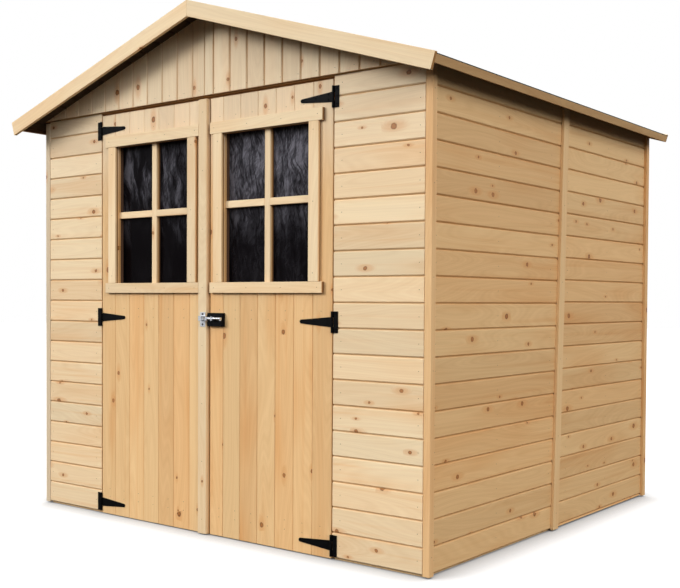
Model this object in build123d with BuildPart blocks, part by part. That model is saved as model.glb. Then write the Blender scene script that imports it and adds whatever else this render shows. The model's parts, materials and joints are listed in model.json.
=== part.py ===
"""Wooden garden shed with a gable roof, double doors and two door windows.

Frame: +X runs along the front from left to right, +Y runs from the front to the back, +Z is up.
The origin lies on the ground, under the middle of the whole shed. All sizes are millimetres.
"""

import os
from math import cos, radians, sin, tan

from build123d import *

# ---------------------------------------------------------------- driving dimensions: walls
wall_width = 2022.0  # over the faces of the two side claddings
wall_depth = 1870.0  # over the faces of the front and back claddings
wall_height = 1700.0  # ground to the top of every wall panel
board = 14.0  # thickness of the tongued boards
cladding_lift = 8.0  # ground to the lower edge of the boards
stud_depth = 28.0  # framing timber, across the wall
stud_width = 45.0  # framing timber, along the wall
joint_gap = 0.4  # left between neighbouring timbers
wide_panel = 540.0  # a panel wider than this has a stud in its middle

# ---------------------------------------------------------------- driving dimensions: roof
roof_pitch = 17.5  # degrees
eave_overhang = 90.0  # side wall face to the end of the roof, at the deck's underside
front_overhang = 122.0  # front wall face to the face of the front bargeboards
deck = 16.0  # thickness of the roof boards
felt = 3.0  # thickness of the roofing felt
bargeboard = 14.0  # thickness
bargeboard_height = 59.0
back_bargeboard_height = 35.0
bargeboard_lip = 4.0  # stands above the felt
eave_board = 14.0  # thickness
eave_board_height = 28.0
ridge_width = 34.0
ridge_height = 80.0
purlin_width = 34.0
rafter_height = 45.0
purlin_place = 0.5  # share of the slope from the ridge to the eave

# ---------------------------------------------------------------- driving dimensions: trim
batten = 13.0  # thickness of every cover batten
corner_batten_width = 30.0
corner_post = 27.0  # front corner posts, along the side wall
corner_post_lip = 2.0  # stands past the front face
middle_batten_width = 47.0
batten_lift = 5.0  # ground to the lower ends of the battens and posts
side_joint = 960.0  # front face to the joint of the two side panels, half way up
joint_lean = 65.0  # the joint runs this far backwards from its foot to its head
gable_clearance = 4.0  # wall top to the lower edge of the front gable boards

# ---------------------------------------------------------------- driving dimensions: doors
doorway_width = 1258.0
doorway_offset = -13.0  # middle of the doorway from the middle of the shed
door_gap = 6.0  # leaf to jamb
door_lift = 4.0  # ground to the lower edge of the leaves
door_drop = 10.0  # wall top to the upper edge of the leaves
meeting_gap = 7.0  # between the two leaves
strip_width = 44.0
strip = 15.0  # thickness of the cover strip
strip_shift = -8.0  # middle of the strip from the middle of the doorway
ledge = 20.0  # thickness of the ledges behind the boards
ledge_height = 70.0
ledge_inset = 32.0  # leaf edge to the end of a ledge
ledge_margin = 55.0  # lower edge of the leaf to the lowest ledge
stop_clearance = 6.0  # door boards to the head and the sill behind them
sill_height = 26.0

# ---------------------------------------------------------------- driving dimensions: windows
window_height = 568.0
window_drop = 139.5  # leaf top to the head of the opening
window_margin = 37.0  # hinge edge of the leaf to the end of the window's trim
strip_margin = 10.0  # meeting edge of the right leaf to the end of its window's trim
surround = 15.0  # thickness of the window trim
stile_width = 45.0
head_trim_height = 45.0
sill_trim_height = 41.0
trim_ear = 18.0  # head and sill run past the stiles
lining = 20.0  # thickness of the strips behind the boards that hold the pane
lining_width = 12.0
lining_play = 2.0  # upper lining strip to the ledge above it
glass = 4.0
glass_depth = 29.0  # leaf face to the pane's front
glass_play = 0.3  # pane edge to the lining round it

# ---------------------------------------------------------------- driving dimensions: ironwork
low_hinge_margin = 46.5  # lower edge of the leaf to the middle of the lowest hinge
high_hinge_margin = 62.5  # upper edge of the leaf to the middle of the highest hinge
hinge_plate_height = 76.0
hinge_plate_width = 21.0
hinge_metal = 2.5
middle_drop = 102.0  # window trim down to the level of the middle hinges and the bolt
strap_length = 150.0
strap_root = 36.0
strap_tip = 14.0
knuckle_radius = 4.5
knuckle_length = 30.0
pin_radius = 2.5
pin_play = 0.25
strap_relief = 1.5  # the strap widens this far from its knuckle
knuckle_play = 1.0  # end play between a strap's knuckle and its neighbours
latch_width = 80.0
latch_height = 51.0
latch_metal = 2.0  # thickness of the keep's plate
rod_radius = 5.0
rod_play = 0.3
rod_travel = 32.0
rod_rise = 4.0  # rod centre above the middle of the latch plate
rod_clearance = 1.0  # behind the rod, to the keep's plate
guide_width = 8.0
guide_wall = 2.5
guide_inset = 2.0  # latch plate's end to the first guide
guide_spacing = 28.0
handle_radius = 4.0
handle_drop = 22.0  # below the rod's centre
keep_width = 28.0
keep_height = 56.0
keep_inset = 3.0  # strip's edge to the keep
keep_play = 2.0  # round the rod
loop_inset = 5.0  # keep's plate past its loop

# ---------------------------------------------------------------- places worked out from them
pitch = radians(roof_pitch)
rise = tan(pitch)
half_width = wall_width / 2
back_overhang = bargeboard
total_depth = front_overhang + wall_depth + back_overhang
front_y = front_overhang - total_depth / 2
back_y = front_y + wall_depth
ridge_under = wall_height + rise * half_width  # underside of the deck at the ridge
slope_length = (half_width + eave_overhang) / cos(pitch)
felt_top = deck + felt
door_left = doorway_offset - doorway_width / 2
door_right = doorway_offset + doorway_width / 2
left_leaf_edge = door_left + door_gap
right_leaf_edge = door_right - door_gap
door_top = wall_height - door_drop
strip_middle = doorway_offset + strip_shift
strip_left = strip_middle - strip_width / 2
strip_right = strip_middle + strip_width / 2
right_leaf_start = strip_right + meeting_gap
trim_reach = stile_width + trim_ear
window_outer = right_leaf_edge - window_margin - trim_reach
window_inner = right_leaf_start + strip_margin + trim_reach
window_width = window_outer - window_inner
window_spread = (window_outer + window_inner) / 2 - doorway_offset
window_high = door_top - window_drop
window_low = window_high - window_height
low_hinge = door_lift + low_hinge_margin
high_hinge = door_top - high_hinge_margin
middle_level = window_low - sill_trim_height - middle_drop
hinge_centres = (low_hinge, middle_level, high_hinge)
low_ledge = door_lift + ledge_margin + ledge_height / 2
high_ledge = window_high + lining_width + lining_play + ledge_height / 2
middle_ledge = middle_level + strap_root / 2 + hinge_metal
ledge_centres = (low_ledge, middle_ledge, high_ledge)
frame_front = front_y + board
frame_back = back_y - board
inner_half = half_width - board - joint_gap
post_back = front_y - corner_post_lip + corner_post
stud_top = wall_height - stud_width

os.makedirs("parts", exist_ok=True)


def save(piece, name):
    """Label a finished piece and write it out."""
    piece.part.label = name
    export_step(piece.part, f"parts/{name}.step")


def block(low, high, mode=Mode.ADD):
    """A box given by its lowest and highest corners, added to the part being made or cut from it."""
    size = [b - a for a, b in zip(low, high)]
    middle = [(a + b) / 2 for a, b in zip(low, high)]
    with Locations(tuple(middle)):
        Box(*size, mode=mode)


def on_slope(along, out, side):
    """Point of the front view at a distance down the slope and a height above the deck's underside."""
    x = along * cos(pitch) + out * sin(pitch)
    z = ridge_under - along * sin(pitch) + out * cos(pitch)
    return (side * x, z)


def slope_layer(low, high, end, side, mitre=joint_gap / 2):
    """Outline of a roof layer from a plumb cut by the ridge to a square cut at the eave."""
    corners = [
        on_slope(mitre / cos(pitch) - low * rise, low, side),
        on_slope(end, low, side),
        on_slope(end, high, side),
        on_slope(mitre / cos(pitch) - high * rise, high, side),
    ]
    return corners


def front_view(y):
    """Sketch plane facing the front: sketch x is X, sketch y is Z, extruding runs backwards."""
    return Plane(origin=(0, y, 0), x_dir=(1, 0, 0), z_dir=(0, -1, 0))


def plate(corners, y_low, y_high):
    """A flat piece with an outline in the front view, between two depths."""
    with BuildSketch(front_view(y_low)) as outline:
        with BuildLine():
            Polyline(*corners, close=True)
        make_face()
    extrude(outline.sketch, amount=-(y_high - y_low))


# ---------------------------------------------------------------- claddings
def cladding_box(x_low, x_high, y_low, y_high):
    """One wall panel's boards as a slab."""
    block((x_low, y_low, cladding_lift), (x_high, y_high, wall_height))


with BuildPart() as front_left_cladding:
    cladding_box(-inner_half, door_left, front_y, frame_front)
save(front_left_cladding, "front_left_cladding")

with BuildPart() as front_right_cladding:
    cladding_box(door_right, inner_half, front_y, frame_front)
save(front_right_cladding, "front_right_cladding")

with BuildPart() as back_left_cladding:
    cladding_box(-half_width, -joint_gap / 2, frame_back, back_y)
save(back_left_cladding, "back_left_cladding")

with BuildPart() as back_right_cladding:
    cladding_box(joint_gap / 2, half_width, frame_back, back_y)
save(back_right_cladding, "back_right_cladding")


def joint_y(z):
    """Depth of the side panels' joint at a height."""
    middle = (cladding_lift + wall_height) / 2
    lean = joint_lean / (wall_height - cladding_lift)
    return front_y + side_joint + (z - middle) * lean


def side_slab(inner_x, corners, outward):
    """A flat piece on a side wall with an outline in (y, z), growing outwards from inner_x."""
    with BuildSketch(Plane(origin=(inner_x, 0, 0), x_dir=(0, 1, 0), z_dir=(1, 0, 0))) as outline:
        with BuildLine():
            Polyline(*corners, close=True)
        make_face()
    extrude(outline.sketch, amount=outward)


side_start = post_back + joint_gap
side_end = frame_back - joint_gap
for side, word in ((-1, "left"), (1, "right")):
    inner_x = side * (half_width - board)
    foot = joint_y(cladding_lift)
    head = joint_y(wall_height)
    with BuildPart() as front_side_cladding:
        near = [
            (side_start, cladding_lift),
            (foot - joint_gap / 2, cladding_lift),
            (head - joint_gap / 2, wall_height),
            (side_start, wall_height),
        ]
        side_slab(inner_x, near, side * board)
    save(front_side_cladding, f"{word}_front_cladding")
    with BuildPart() as back_side_cladding:
        far = [
            (foot + joint_gap / 2, cladding_lift),
            (side_end, cladding_lift),
            (side_end, wall_height),
            (head + joint_gap / 2, wall_height),
        ]
        side_slab(inner_x, far, side * board)
    save(back_side_cladding, f"{word}_back_cladding")

# ---------------------------------------------------------------- gables
gable_base = wall_height + gable_clearance
gable_half = (ridge_under - gable_base) / rise
with BuildPart() as front_gable:
    plate([(-gable_half, gable_base), (gable_half, gable_base), (0, ridge_under)], front_y - board, front_y)
save(front_gable, "front_gable")

back_gable_base = wall_height + joint_gap
back_gable_half = (ridge_under - back_gable_base) / rise
with BuildPart() as back_gable:
    plate(
        [(-back_gable_half, back_gable_base), (back_gable_half, back_gable_base), (0, ridge_under)],
        frame_back,
        back_y,
    )
save(back_gable, "back_gable")


# ---------------------------------------------------------------- wall frames
def panel_frame(start, end, across, along_y=False):
    """Rails and studs of one wall panel: start and end run along the wall, across is its depth range."""

    def timber(low, high, z_low, z_high):
        if along_y:
            block((across[0], low, z_low), (across[1], high, z_high))
        else:
            block((low, across[0], z_low), (high, across[1], z_high))

    timber(start, end, 0, stud_width)
    timber(start, end, stud_top, wall_height)
    middle = (start + end) / 2
    places = [start, end - stud_width]
    if end - start > wide_panel:
        places.append(middle - stud_width / 2)
    for place in places:
        timber(place, place + stud_width, stud_width + joint_gap, stud_top - joint_gap)


def gable_timbers(y_low):
    """Bottom rail and two rafters behind the boards of a gable."""
    y_high = y_low + stud_depth
    rail_low = wall_height + joint_gap
    rail_high = rail_low + stud_depth
    rail_half = (ridge_under - rail_high) / rise
    block((-rail_half, y_low, rail_low), (rail_half, y_high, rail_high))
    seat = rail_high + joint_gap
    for side in (-1, 1):
        under_ridge = ridge_under - rafter_height / cos(pitch)
        outline = [
            (side * joint_gap, ridge_under - joint_gap * rise),
            (side * (ridge_under - seat) / rise, seat),
            (side * (under_ridge - seat) / rise, seat),
            (side * joint_gap, under_ridge - joint_gap * rise),
        ]
        plate(outline, y_low, y_high)


front_stud_back = frame_front + stud_depth
back_stud_front = frame_back - stud_depth
head_front = front_y + board + stop_clearance
with BuildPart() as front_frame:
    panel_frame(-inner_half, door_left, (frame_front, front_stud_back))
    panel_frame(door_right, inner_half, (frame_front, front_stud_back))
    block(
        (door_left + joint_gap, head_front, stud_top),
        (door_right - joint_gap, front_stud_back, wall_height),
    )
    block(
        (door_left + joint_gap, head_front, 0),
        (door_right - joint_gap, front_stud_back, sill_height),
    )
    gable_timbers(front_y)
save(front_frame, "front_frame")

with BuildPart() as back_frame:
    panel_frame(-inner_half, -joint_gap / 2, (back_stud_front, frame_back))
    panel_frame(joint_gap / 2, inner_half, (back_stud_front, frame_back))
    gable_timbers(back_stud_front)
save(back_frame, "back_frame")

side_frame_start = front_stud_back + joint_gap
side_frame_end = back_stud_front - joint_gap
side_frame_joint = front_y + side_joint
for side, word in ((-1, "left"), (1, "right")):
    faces = sorted((side * (half_width - board), side * (half_width - board - stud_depth)))
    with BuildPart() as side_frame:
        panel_frame(side_frame_start, side_frame_joint - joint_gap / 2, faces, along_y=True)
        panel_frame(side_frame_joint + joint_gap / 2, side_frame_end, faces, along_y=True)
    save(side_frame, f"{word}_frame")

# ---------------------------------------------------------------- battens
batten_top = wall_height - batten * rise - joint_gap
for name, reach, low, high in (
    ("front_corner_posts", half_width - board, front_y - corner_post_lip, post_back),
    ("back_corner_battens", half_width, back_y - corner_batten_width, back_y),
):
    with BuildPart() as corner_battens:
        for side in (-1, 1):
            inner_x, outer_x = sorted((side * reach, side * (half_width + batten)))
            block((inner_x, low, batten_lift), (outer_x, high, batten_top))
    save(corner_battens, name)

for side, word in ((-1, "left"), (1, "right")):
    foot = joint_y(batten_lift)
    head = joint_y(batten_top)
    half = middle_batten_width / 2
    outline = [
        (foot - half, batten_lift),
        (foot + half, batten_lift),
        (head + half, batten_top),
        (head - half, batten_top),
    ]
    with BuildPart() as middle_batten:
        side_slab(side * half_width, outline, side * batten)
    save(middle_batten, f"{word}_middle_batten")

with BuildPart() as back_middle_batten:
    block(
        (-middle_batten_width / 2, back_y, batten_lift),
        (middle_batten_width / 2, back_y + batten, wall_height),
    )
save(back_middle_batten, "back_middle_batten")

# ---------------------------------------------------------------- roof
deck_front = front_y - front_overhang + bargeboard
beam_front = front_y + stud_depth + joint_gap
beam_back = back_stud_front - joint_gap

with BuildPart() as ridge_beam:
    shoulder = ridge_under - ridge_width / 2 * rise
    outline = [
        (-ridge_width / 2, ridge_under - ridge_height),
        (ridge_width / 2, ridge_under - ridge_height),
        (ridge_width / 2, shoulder),
        (0, ridge_under),
        (-ridge_width / 2, shoulder),
    ]
    plate(outline, beam_front, beam_back)
save(ridge_beam, "ridge_beam")

purlin_start = slope_length * purlin_place - purlin_width / 2
with BuildPart() as purlins:
    for side in (-1, 1):
        outline = [
            on_slope(purlin_start, -rafter_height, side),
            on_slope(purlin_start + purlin_width, -rafter_height, side),
            on_slope(purlin_start + purlin_width, 0, side),
            on_slope(purlin_start, 0, side),
        ]
        plate(outline, beam_front, beam_back)
save(purlins, "purlins")

for side, word in ((-1, "left"), (1, "right")):
    with BuildPart() as roof_deck:
        plate(slope_layer(0, deck, slope_length - eave_board, side), deck_front, back_y)
    save(roof_deck, f"{word}_roof_deck")
    with BuildPart() as eave_piece:
        outline = [
            on_slope(slope_length - eave_board, deck - eave_board_height, side),
            on_slope(slope_length, deck - eave_board_height, side),
            on_slope(slope_length, deck, side),
            on_slope(slope_length - eave_board, deck, side),
        ]
        plate(outline, deck_front, back_y)
    save(eave_piece, f"{word}_eave_board")

with BuildPart() as roofing_felt:
    for side in (-1, 1):
        plate(slope_layer(deck, felt_top, slope_length, side), deck_front, back_y)
save(roofing_felt, "roofing_felt")

barge_top = felt_top + bargeboard_lip
for end_word, low, height in (
    ("front", deck_front - bargeboard, bargeboard_height),
    ("back", back_y, back_bargeboard_height),
):
    for side, word in ((-1, "left"), (1, "right")):
        with BuildPart() as barge:
            outline = slope_layer(barge_top - height, barge_top, slope_length, side)
            plate(outline, low, low + bargeboard)
        save(barge, f"{end_word}_{word}_bargeboard")

# ---------------------------------------------------------------- doors
leaf_back = front_y + board


def leaf_boards(x_low, x_high, window_middle):
    """Runs of boards round the window: full height at its sides, short below and above it."""
    left = window_middle - window_width / 2
    right = window_middle + window_width / 2
    block((x_low, front_y, door_lift), (left - joint_gap, leaf_back, door_top))
    block((right + joint_gap, front_y, door_lift), (x_high, leaf_back, door_top))
    block((left, front_y, door_lift), (right, leaf_back, window_low))
    block((left, front_y, window_high), (right, leaf_back, door_top))


def leaf_ledges(x_low, x_high):
    """Three ledges across the back of the boards."""
    start = x_low + ledge_inset
    end = x_high - ledge_inset
    for centre in ledge_centres:
        block(
            (start, leaf_back, centre - ledge_height / 2),
            (end, leaf_back + ledge, centre + ledge_height / 2),
        )


def window_surround(middle):
    """Head, sill and two stiles on the face of the boards."""
    left = middle - window_width / 2
    right = middle + window_width / 2
    face = front_y - surround
    trim_left = left - stile_width - trim_ear
    trim_right = right + stile_width + trim_ear
    block((trim_left, face, window_high), (trim_right, front_y, window_high + head_trim_height))
    block((trim_left, face, window_low - sill_trim_height), (trim_right, front_y, window_low))
    for start in (left - stile_width, right):
        block(
            (start, face, window_low + joint_gap),
            (start + stile_width, front_y, window_high - joint_gap),
        )


def window_lining(middle):
    """Four strips on the back of the boards, round the opening."""
    left = middle - window_width / 2
    right = middle + window_width / 2
    back = leaf_back + lining
    for z_low, z_high in (
        (window_low - lining_width, window_low),
        (window_high, window_high + lining_width),
    ):
        block((left - lining_width, leaf_back, z_low), (right + lining_width, back, z_high))
    for start in (left - lining_width, right):
        block(
            (start, leaf_back, window_low + joint_gap),
            (start + lining_width, back, window_high - joint_gap),
        )


def window_pane(middle):
    """One pane held between the strips of the lining."""
    block(
        (middle - window_width / 2 + glass_play, front_y + glass_depth, window_low + glass_play),
        (
            middle + window_width / 2 - glass_play,
            front_y + glass_depth + glass,
            window_high - glass_play,
        ),
    )


leaves = (
    ("left", left_leaf_edge, strip_right, doorway_offset - window_spread),
    ("right", right_leaf_start, right_leaf_edge, doorway_offset + window_spread),
)
for word, x_low, x_high, window_middle in leaves:
    with BuildPart() as boards:
        leaf_boards(x_low, x_high, window_middle)
    save(boards, f"{word}_door_boards")
    with BuildPart() as ledges:
        leaf_ledges(x_low, x_high)
    save(ledges, f"{word}_door_ledges")
    with BuildPart() as trim:
        window_surround(window_middle)
    save(trim, f"{word}_window_surround")
    with BuildPart() as strips:
        window_lining(window_middle)
    save(strips, f"{word}_window_lining")
    with BuildPart() as pane:
        window_pane(window_middle)
    save(pane, f"{word}_window_pane")

with BuildPart() as cover_strip:
    block((strip_left, front_y - strip, door_lift), (strip_right, front_y, door_top))
save(cover_strip, "cover_strip")

# ---------------------------------------------------------------- hinges
pin_y = front_y - knuckle_radius


def upright(x, y, radius, z_low, z_high, mode=Mode.ADD):
    """A vertical round bar or bore."""
    with Locations((x, y, (z_low + z_high) / 2)):
        Cylinder(radius, z_high - z_low, mode=mode)


with BuildPart() as hinge_plates:
    for pin_x, outward in ((door_left + door_gap / 2, -1), (door_right - door_gap / 2, 1)):
        for centre in hinge_centres:
            low = centre - hinge_plate_height / 2
            high = centre + hinge_plate_height / 2
            slot = knuckle_length / 2 + knuckle_play
            far_x = pin_x + outward * (door_gap / 2 + hinge_plate_width)
            edge_x = pin_x + outward * (knuckle_radius + knuckle_play)
            plate_y = front_y - hinge_metal
            inner, outer = sorted((edge_x, far_x))
            block((inner, plate_y, low), (outer, front_y, high))
            inner, outer = sorted((pin_x, far_x))
            for z_low, z_high in ((low, centre - slot), (centre + slot, high)):
                block((inner, plate_y, z_low), (outer, front_y, z_high))
                upright(pin_x, pin_y, knuckle_radius, z_low, z_high)
            upright(pin_x, pin_y, pin_radius, low, high)
save(hinge_plates, "hinge_plates")

for word, pin_x, inward in (
    ("left", door_left + door_gap / 2, 1),
    ("right", door_right - door_gap / 2, -1),
):
    with BuildPart() as hinge_straps:
        for centre in hinge_centres:
            root_x = pin_x + inward * (knuckle_radius + strap_relief)
            tip_x = pin_x + inward * (strap_length - strap_tip / 2)
            neck = min(strap_root, knuckle_length) / 2
            with BuildSketch(front_view(front_y - hinge_metal)):
                with BuildLine():
                    Polyline(
                        (pin_x, centre - neck),
                        (root_x, centre - neck),
                        (root_x, centre - strap_root / 2),
                        (tip_x, centre - strap_tip / 2),
                        (tip_x, centre + strap_tip / 2),
                        (root_x, centre + strap_root / 2),
                        (root_x, centre + neck),
                        (pin_x, centre + neck),
                        close=True,
                    )
                make_face()
                with Locations((tip_x, centre)):
                    Circle(strap_tip / 2)
            extrude(amount=-hinge_metal)
            upright(pin_x, pin_y, knuckle_radius, centre - knuckle_length / 2, centre + knuckle_length / 2)
            upright(
                pin_x,
                pin_y,
                pin_radius + pin_play,
                centre - knuckle_length / 2,
                centre + knuckle_length / 2,
                mode=Mode.SUBTRACT,
            )
    save(hinge_straps, f"{word}_hinge_straps")

# ---------------------------------------------------------------- sliding bolt
rod_z = middle_level + rod_rise
strip_face = front_y - strip
rod_y = strip_face - latch_metal - rod_clearance - rod_radius
latch_left = right_leaf_start
latch_right = latch_left + latch_width
keep_right = strip_right - keep_inset
keep_left = keep_right - keep_width
rod_left = latch_left + rod_clearance
guide_starts = [latch_left + guide_inset + place * guide_spacing for place in (0, 1)]
rod_right = guide_starts[1] + guide_width + rod_travel + 2 * handle_radius + 2 * rod_clearance
rod_axis = Plane(origin=(0, rod_y, rod_z), x_dir=(0, 1, 0), z_dir=(1, 0, 0))


def level_bar(radius, x_low, x_high, mode=Mode.ADD):
    """A round bar or bore on the bolt's axis."""
    with BuildSketch(rod_axis.offset(x_low)) as section:
        Circle(radius)
    extrude(section.sketch, amount=x_high - x_low, mode=mode)


guide_half = rod_radius + rod_play + guide_wall
with BuildPart() as bolt_housing:
    block(
        (latch_left, strip_face, middle_level - latch_height / 2),
        (latch_right, front_y, middle_level + latch_height / 2),
    )
    for start in guide_starts:
        block(
            (start, rod_y - guide_half, rod_z - guide_half),
            (start + guide_width, strip_face, rod_z + guide_half),
        )
    level_bar(rod_radius + rod_play, latch_left, latch_right, mode=Mode.SUBTRACT)
save(bolt_housing, "bolt_housing")

with BuildPart() as bolt_rod:
    level_bar(rod_radius, rod_left, rod_right)
    upright(rod_right - handle_radius, rod_y, handle_radius, rod_z - handle_drop, rod_z)
save(bolt_rod, "bolt_rod")

keep_bore = rod_radius + keep_play
loop_half = keep_bore + guide_wall
with BuildPart() as bolt_keep:
    block(
        (keep_left, strip_face - latch_metal, middle_level - keep_height / 2),
        (keep_right, strip_face, middle_level + keep_height / 2),
    )
    block(
        (keep_left + loop_inset, rod_y - loop_half, rod_z - loop_half),
        (keep_right - loop_inset, strip_face, rod_z + loop_half),
    )
    block(
        (keep_left, rod_y - keep_bore, rod_z - keep_bore),
        (keep_right, strip_face - latch_metal, rod_z + keep_bore),
        mode=Mode.SUBTRACT,
    )
save(bolt_keep, "bolt_keep")
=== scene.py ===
"""Looks of a wooden garden shed: tongued boards, trim, glazing bars, felt, nails and screws."""

import json
import math
import random
from contextlib import contextmanager

import bmesh
import bpy
import numpy as np
from mathutils import Matrix, Vector

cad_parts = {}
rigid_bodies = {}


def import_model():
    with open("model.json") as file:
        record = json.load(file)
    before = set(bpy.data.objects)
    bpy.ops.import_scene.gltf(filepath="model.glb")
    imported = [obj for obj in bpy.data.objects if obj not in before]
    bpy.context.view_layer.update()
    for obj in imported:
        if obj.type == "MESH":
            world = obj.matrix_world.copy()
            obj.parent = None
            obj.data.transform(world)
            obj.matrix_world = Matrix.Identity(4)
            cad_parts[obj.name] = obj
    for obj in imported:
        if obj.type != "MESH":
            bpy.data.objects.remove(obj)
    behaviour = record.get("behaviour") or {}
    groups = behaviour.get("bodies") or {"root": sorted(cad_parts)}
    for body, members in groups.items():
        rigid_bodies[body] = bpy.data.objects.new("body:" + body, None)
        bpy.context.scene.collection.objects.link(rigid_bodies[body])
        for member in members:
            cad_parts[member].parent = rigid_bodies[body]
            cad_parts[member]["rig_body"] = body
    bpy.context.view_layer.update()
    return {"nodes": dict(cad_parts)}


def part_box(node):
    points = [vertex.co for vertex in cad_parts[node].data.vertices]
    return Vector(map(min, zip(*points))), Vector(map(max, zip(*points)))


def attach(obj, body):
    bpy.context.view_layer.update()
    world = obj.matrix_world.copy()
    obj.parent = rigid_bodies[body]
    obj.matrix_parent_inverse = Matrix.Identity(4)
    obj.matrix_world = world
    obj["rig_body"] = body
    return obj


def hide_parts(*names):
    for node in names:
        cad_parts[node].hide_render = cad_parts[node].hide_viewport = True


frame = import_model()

random.seed(11)
EAST, NORTH, UP = Vector((1, 0, 0)), Vector((0, 1, 0)), Vector((0, 0, 1))
MM = 0.001
SIDES = (("left", -1), ("right", 1))
PITCH = math.radians(17.5)


def slope(way):
    """Down a roof slope, and square out of it; way is -1 on the left and 1 on the right."""
    run, rise = math.cos(PITCH), math.sin(PITCH)
    return Vector((way * run, 0, -rise)), Vector((way * rise, 0, run))


# ---------------------------------------------------------------- shader graphs
class Socket:
    """A shader value that takes part in plain arithmetic."""

    def __init__(self, graph, socket):
        self.graph = graph
        self.socket = socket

    def __add__(self, other):
        return self.graph.math("ADD", self, other)

    def __sub__(self, other):
        return self.graph.math("SUBTRACT", self, other)

    def __rsub__(self, other):
        return self.graph.math("SUBTRACT", other, self)

    def __mul__(self, other):
        return self.graph.math("MULTIPLY", self, other)

    def __truediv__(self, other):
        return self.graph.math("DIVIDE", self, other)

    def __rtruediv__(self, other):
        return self.graph.math("DIVIDE", other, self)

    def __pow__(self, other):
        return self.graph.math("POWER", self, other)

    def __lt__(self, other):
        return self.graph.math("LESS_THAN", self, other)

    def __gt__(self, other):
        return self.graph.math("GREATER_THAN", self, other)

    __radd__ = __add__
    __rmul__ = __mul__


class Graph:
    """The nodes of a new material, or of a tree that is there already."""

    def __init__(self, name=None, tree=None):
        if tree is None:
            self.material = bpy.data.materials.new(name)
            self.material.use_nodes = True
            tree = self.material.node_tree
        self.tree = tree
        self.tree.nodes.clear()

    def add(self, kind, settings=None, inputs=None, output=0):
        """A node with its settings, then its sockets' values or links; gives one of its outputs."""
        node = self.tree.nodes.new("ShaderNode" + kind)
        for key, value in (settings or {}).items():
            setattr(node, key, value)
        for key, value in (inputs or {}).items():
            if isinstance(value, Socket):
                self.tree.links.new(value.socket, node.inputs[key])
            else:
                node.inputs[key].default_value = value
        self.last = node
        return Socket(self, node.outputs[output]) if node.outputs else None

    def also(self, output):
        """Another output of the node that was added last."""
        return Socket(self, self.last.outputs[output])

    def place(self):
        """Where a point lies on the shed."""
        return self.add("TexCoord", output="Object")

    def math(self, operation, *values):
        return self.add("Math", {"operation": operation}, dict(enumerate(values)))

    def vector(self, x, y, z=0.0):
        return self.add("CombineXYZ", None, {"X": x, "Y": y, "Z": z})

    def split(self, vector):
        self.add("SeparateXYZ", None, {"Vector": vector})
        return self.also("X"), self.also("Y"), self.also("Z")

    def noise(self, vector, scale=1.0, detail=2.0, roughness=0.5):
        values = {"Vector": vector, "Scale": scale, "Detail": detail, "Roughness": roughness}
        return self.add("TexNoise", None, values, "Fac")

    def ramp(self, value, start, end):
        """0 at start, 1 at end, smooth between them; start may lie above end."""
        values = {"Value": value, "From Min": start, "From Max": end}
        return self.add("MapRange", {"interpolation_type": "SMOOTHSTEP"}, values)

    def mix(self, amount, first, second, kind="MIX"):
        """A blend of two colours."""
        first, second = (c if isinstance(c, Socket) else (*c, 1) for c in (first, second))
        values = {0: amount, 6: first, 7: second}
        return self.add("Mix", {"data_type": "RGBA", "blend_type": kind}, values, 2)

    def bump(self, height, depth, strength):
        return self.add("Bump", None, {"Height": height, "Distance": depth, "Strength": strength})

    def surface(self, **values):
        """The material's surface: one principled shader with these sockets."""
        named = {}
        for key, value in values.items():
            named[key.replace("_", " ").title().replace("Ior", "IOR")] = value
        self.finish(self.add("BsdfPrincipled", None, named, "BSDF"))
        return self.material

    def finish(self, shader, kind="Material"):
        self.add("Output" + kind, None, {"Surface": shader})


def tint(red, green, blue):
    """A colour as it is seen, on a scale to 255, made linear."""
    return tuple(((c / 255 + 0.055) / 1.055) ** 2.4 if c > 10 else c / 3295 for c in (red, green, blue))


# ---------------------------------------------------------------- finishes
WALL_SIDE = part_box("right_front_cladding")[1].x
WALL_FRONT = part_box("front_gable")[0].y
KNOT_CELL = 140 * MM


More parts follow.
